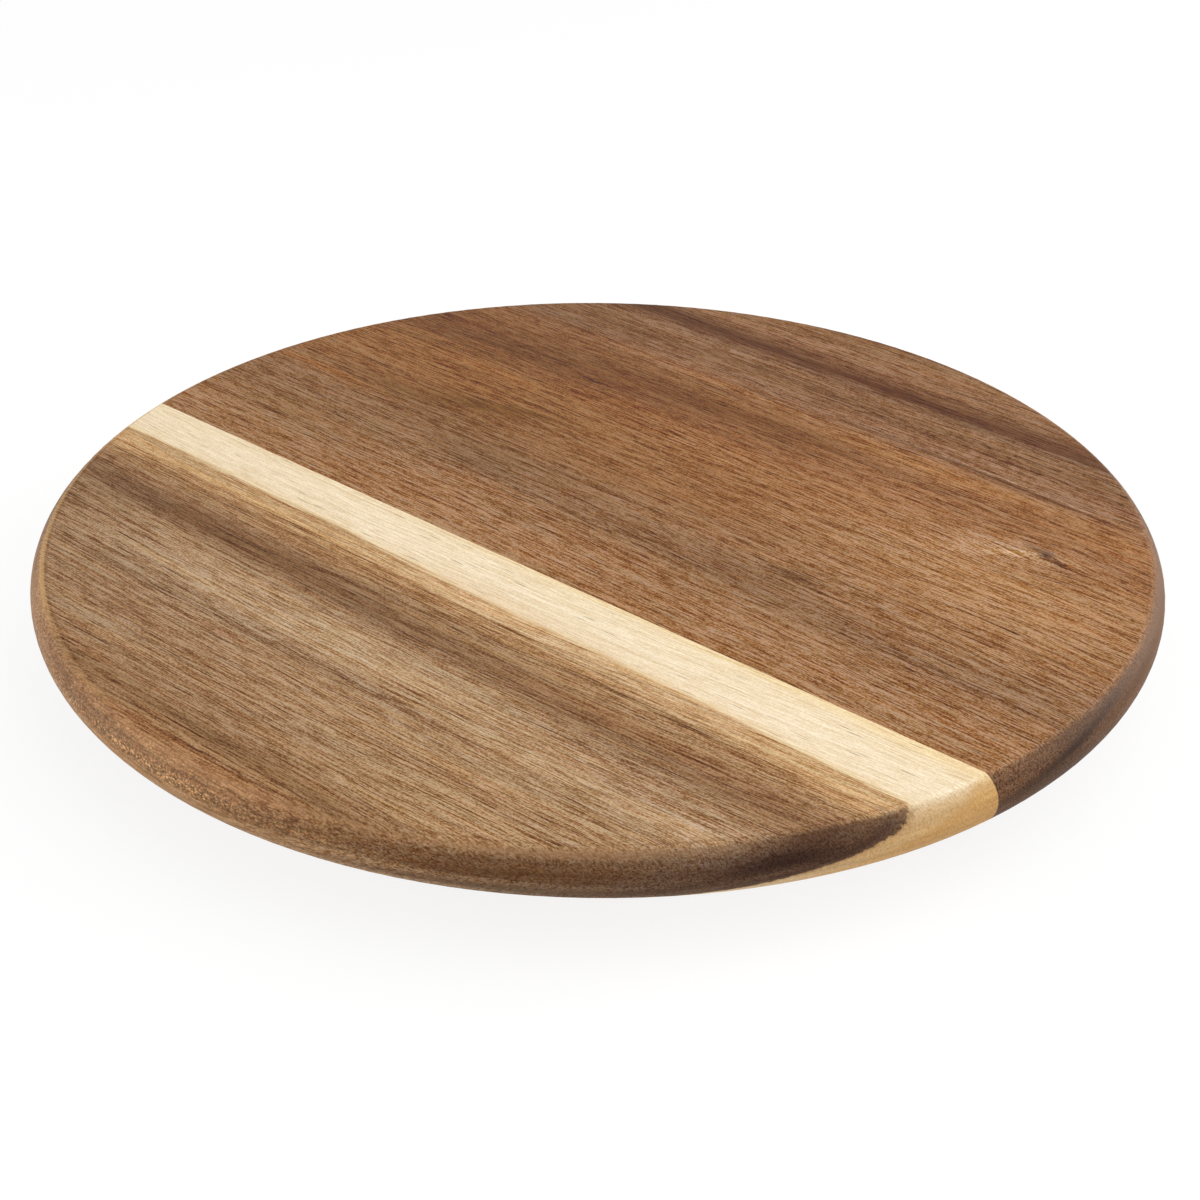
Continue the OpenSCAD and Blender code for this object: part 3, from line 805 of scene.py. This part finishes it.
def makeScrewRing():  # wood screws with a cross in a pan head, heads down, or up when turned over
    tree, given, out = newShape("screwRing", {
        "Count": 4, "Circle Radius": 60.0, "Height": 0.0, "First Turn": 0.0, "Heads Up": 0.0, "Seed": 1,
        "Thread Radius": 1.75, "Core Radius": 1.2, "Tip Radius": 0.1, "Length": 10.0, "Point": 3.0,
        "Pitch": 1.3, "Head Radius": 3.5, "Head Side": 0.7, "Head Dome": 1.3,
        "Cross Length": 3.6, "Cross Width": 0.9, "Cross Depth": 1.2,
        "Head Sides": 40, "Head Rings": 8, "Shank Sides": 20, "Thread Sides": 4, "Sharp Angle": 0.6,
        "Material": None})
    # head: a short cylinder whose lower cap is pushed out into a dome, less the cross
    head = shapeNode(tree, "MeshCylinder", {
        "Vertices": given["Head Sides"], "Fill Segments": given["Head Rings"], "Radius": given["Head Radius"],
        "Depth": given["Head Side"]}, fill_type="TRIANGLE_FAN")
    place = addNode(tree, "ShaderNodeSeparateXYZ", {0: shapeNode(tree, "InputPosition")}).outputs
    chord = squares(tree, given["Head Radius"], given["Head Dome"])
    domeRadius = over(tree, chord, times(tree, given["Head Dome"], 2.0))
    reach = squares(tree, place[0], place[1])
    sphere = calc(tree, "SQRT", minus(tree, times(tree, domeRadius, domeRadius), reach))
    dome = minus(tree, sphere, minus(tree, domeRadius, given["Head Dome"]))
    head = shapeNode(tree, "SetPosition", {
        "Geometry": head, "Selection": calc(tree, "LESS_THAN", place[2], 0.0),
        "Offset": vector(tree, 0.0, 0.0, times(tree, dome, -1.0))})
    head = lift(tree, head, times(tree, given["Head Side"], -0.5))
    deep = times(tree, given["Cross Depth"], 2.0)
    lowest = times(tree, plus(tree, given["Head Side"], given["Head Dome"]), -1.0)
    cut = tree.nodes.new("GeometryNodeMeshBoolean")
    cut.operation = "DIFFERENCE"
    tree.links.new(head, cut.inputs["Mesh 1"])
    for wingX, wingY in (("Cross Length", "Cross Width"), ("Cross Width", "Cross Length")):
        wing = shapeNode(tree, "MeshCube", {"Size": vector(tree, given[wingX], given[wingY], deep)})
        tree.links.new(lift(tree, wing, lowest), cut.inputs["Mesh 2"])
    # shank: a core with a point, and a thread wound round both
    straight = minus(tree, given["Length"], given["Point"])
    core = shapeNode(tree, "MeshCylinder", {
        "Vertices": given["Shank Sides"], "Radius": given["Core Radius"], "Depth": straight})
    core = lift(tree, core, times(tree, straight, 0.5))
    point = shapeNode(tree, "MeshCone", {
        "Vertices": given["Shank Sides"], "Radius Top": given["Tip Radius"],
        "Radius Bottom": given["Core Radius"], "Depth": given["Point"]})
    rise = minus(tree, given["Thread Radius"], given["Core Radius"])
    section = shapeNode(tree, "CurvePrimitiveCircle", {"Resolution": given["Thread Sides"], "Radius": rise})
    threads = []
    for high, endRadius in ((straight, "Core Radius"), (given["Point"], "Tip Radius")):
        wound = shapeNode(tree, "CurveSpiral", {
            "Resolution": given["Shank Sides"], "Rotations": over(tree, high, given["Pitch"]), "Height": high,
            "Start Radius": given["Core Radius"], "End Radius": given[endRadius], "Reverse": True})
        threads.append(shapeNode(tree, "CurveToMesh", {
            "Curve": wound, "Profile Curve": section, "Fill Caps": True}))
    parts = join(tree, cut.outputs[0], core, lift(tree, point, straight), threads[0],
                 lift(tree, threads[1], straight))
    soft = shapeNode(tree, "SetShadeSmooth", {"Geometry": parts, "Shade Smooth": True})
    sharp = calc(tree, "GREATER_THAN", shapeNode(tree, "InputMeshEdgeAngle"), given["Sharp Angle"])
    soft = shapeNode(tree, "SetShadeSmooth", {
        "Geometry": soft, "Selection": sharp, "Shade Smooth": False}, domain="EDGE")
    copies = ringOf(tree, given, soft, times(tree, given["Heads Up"], math.pi))
    closeShape(tree, given, out, copies)
    return tree


def makeBallRing():
    tree, given, out = newShape("ballRing", {
        "Count": 50, "Circle Radius": 33.0, "Height": 0.0, "First Turn": 0.0, "Seed": 1, "Ball Radius": 2.0,
        "Segments": 24, "Rings": 14, "Material": None})
    ball = shapeNode(tree, "MeshUVSphere", {
        "Segments": given["Segments"], "Rings": given["Rings"], "Radius": given["Ball Radius"]})
    ball = shapeNode(tree, "SetShadeSmooth", {"Geometry": ball, "Shade Smooth": True})
    closeShape(tree, given, out, ringOf(tree, given, ball, 0.0))
    return tree


def addToScene(name, data):
    made = bpy.data.objects.new(name, data)
    bpy.context.scene.collection.objects.link(made)
    return made


def grow(name, steps, standsFor, body):  # runs the trees in turn and keeps one plain mesh
    piece = addToScene(name, bpy.data.meshes.new(name + "Start"))
    for number, (tree, sizes) in enumerate(steps):
        modifier = piece.modifiers.new(f"{name}{number}", "NODES")
        modifier.node_group = tree
        for item in tree.interface.items_tree:
            if item.item_type == "SOCKET" and item.in_out == "INPUT" and item.name in sizes:
                modifier[item.identifier] = sizes[item.name]
    bpy.context.view_layer.update()
    graph = bpy.context.evaluated_depsgraph_get()
    plain = bpy.data.meshes.new_from_object(piece.evaluated_get(graph))
    piece.modifiers.clear()
    piece.data = plain
    plain.name = name
    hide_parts(*standsFor)
    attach(piece, body)
    print(name, "made:", len(plain.polygons), "faces")


def seatOf(name):  # circle radius, turn and middle height of a CAD node
    low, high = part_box(name)
    middle = (low + high) / (2 * mm)
    return math.hypot(middle.x, middle.y), math.degrees(math.atan2(middle.y, middle.x)), middle.z


screwLook = {"Length": 10.0, "Point": 3.0, "Head Side": 0.7, "Head Dome": 1.3, "Pitch": 1.3}
screwRing = makeScrewRing()
screwZinc = metalMaterial("screwZinc", zincScrew)


def screws(kind, headsUp, seed):  # a tree and its sizes
    radius, turn, middle = seatOf(kind + "_1")
    offset = (screwLook["Length"] - screwLook["Head Side"] - screwLook["Head Dome"]) / 2
    return screwRing, {
        **screwLook, "Circle Radius": radius, "First Turn": turn, "Heads Up": headsUp, "Seed": seed,
        "Height": middle + offset if headsUp else middle - offset, "Material": screwZinc}


grow("baseScrews", [screws("base_screw", 1.0, 3), screws("foot_screw", 0.0, 8)],
     [f"base_screw_{side}" for side in four] + [f"foot_screw_{side}" for side in four], "base")
grow("boardScrews", [screws("board_screw", 0.0, 5)],
     [f"board_screw_{side}" for side in four], "turntable")
ballLook = {"Circle Radius": raceRadius, "Height": seatOf("bearing_balls")[2], "Ball Radius": 2.0,
            "Material": metalMaterial("ballSteel", polishedBall)}
grow("ballRing", [(makeBallRing(), ballLook)], ["bearing_balls"], "ball_set")


# stage
stageLook = {"floorSize": 12.0, "floorColour": 0.86, "whiteLevel": 1.06, "shadowShare": 0.2,
             "worldLight": 0.35}
plainWhite = (1.0, 1.0, 1.0, 1.0)
lampLook = {  # turn round the object, distance, height, size, power
    "overheadBox": (0.0, 0.65, 1.0, 1.4, 9.3),
    "leftBox": (228.0, 2.2, 0.6, 1.2, 35.0),
    "rightBox": (66.0, 2.2, 0.6, 1.2, 31.0),
}


def cameraSide(tree):  # 1 for what the camera sees, straight or in a mirror
    path = addNode(tree, "ShaderNodeLightPath").outputs
    seen = calc(tree, "MAXIMUM", path["Is Camera Ray"], path["Is Glossy Ray"])
    return calc(tree, "MAXIMUM", seen, path["Is Transmission Ray"])


def makeFloor():
    half = stageLook["floorSize"] / 2
    mesh = bpy.data.meshes.new("floor")
    corners = [(-half, -half, 0), (half, -half, 0), (half, half, 0), (-half, half, 0)]
    mesh.from_pydata(corners, [], [(0, 1, 2, 3)])
    floor = addToScene("floor", mesh)
    material = bpy.data.materials.new("paleFloor")
    tree = emptyTree(material)
    grey = stageLook["floorColour"]
    matt = addNode(tree, "ShaderNodeBsdfDiffuse", {"Color": (grey, grey, grey, 1.0)})
    white = addNode(tree, "ShaderNodeEmission", {"Color": plainWhite, "Strength": stageLook["whiteLevel"]})
    share = times(tree, cameraSide(tree), 1 - stageLook["shadowShare"])
    mixed = addNode(tree, "ShaderNodeMixShader", {0: share, 1: matt.outputs[0], 2: white.outputs[0]})
    below = addNode(tree, "ShaderNodeNewGeometry").outputs["Backfacing"]  # seen through from below
    clear = addNode(tree, "ShaderNodeBsdfTransparent")
    sided = addNode(tree, "ShaderNodeMixShader", {0: below, 1: mixed.outputs[0], 2: clear.outputs[0]})
    addNode(tree, "ShaderNodeOutputMaterial", {"Surface": sided.outputs[0]})
    mesh.materials.append(material)


def makeWorld():
    world = bpy.data.worlds.new("studio")
    bpy.context.scene.world = world
    tree = emptyTree(world)
    extra = times(tree, cameraSide(tree), 1 - stageLook["worldLight"])  # up to white where it is seen
    strength = plus(tree, stageLook["worldLight"], extra)
    sky = addNode(tree, "ShaderNodeBackground", {"Color": plainWhite, "Strength": strength})
    addNode(tree, "ShaderNodeOutputWorld", {"Surface": sky.outputs[0]})


def makeLamp(name, turn, far, height, size, power):
    place = (far * math.cos(math.radians(turn)), far * math.sin(math.radians(turn)), height)
    data = bpy.data.lights.new(name, "AREA")
    data.shape = "SQUARE"
    data.size = size
    data.energy = power
    lamp = addToScene(name, data)
    lamp.location = place
    lamp.rotation_euler = (-Vector(place)).to_track_quat("-Z", "Y").to_euler()


# camera, from the board's outline in the photograph
cameraLook = {"lens": 66.0, "sensor": 36.0, "distance": 0.6915, "azimuth": 40.51, "elevation": 28.63,
              "aimDown": 30.78, "aimAzimuth": 40.445, "roll": 0.59}


def towards(azimuth, elevation):  # from the object to a viewer
    turn, rise = math.radians(azimuth), math.radians(elevation)
    return Vector((math.sin(turn) * math.cos(rise), -math.cos(turn) * math.cos(rise), math.sin(rise)))


def makeCamera():
    data = bpy.data.cameras.new("camera")
    data.lens = cameraLook["lens"]
    data.sensor_width = cameraLook["sensor"]
    camera = addToScene("camera", data)
    back = towards(cameraLook["aimAzimuth"], cameraLook["aimDown"])
    right = towards(cameraLook["aimAzimuth"] + 90, 0.0)
    up = back.cross(right)
    roll = math.radians(cameraLook["roll"])
    rolledRight = right * math.cos(roll) + up * math.sin(roll)
    rolledUp = up * math.cos(roll) - right * math.sin(roll)
    turned = Matrix((rolledRight, rolledUp, back)).transposed().to_4x4()
    seat = Vector((0.0, 0.0, boardHigh.z))
    seat += towards(cameraLook["azimuth"], cameraLook["elevation"]) * cameraLook["distance"]
    camera.matrix_world = Matrix.Translation(seat) @ turned
    bpy.context.scene.camera = camera


makeFloor()
makeWorld()
for lampName, lampPlace in lampLook.items():
    makeLamp(lampName, *lampPlace)
makeCamera()
bpy.context.scene.view_settings.view_transform = "Standard"
print("stage set")
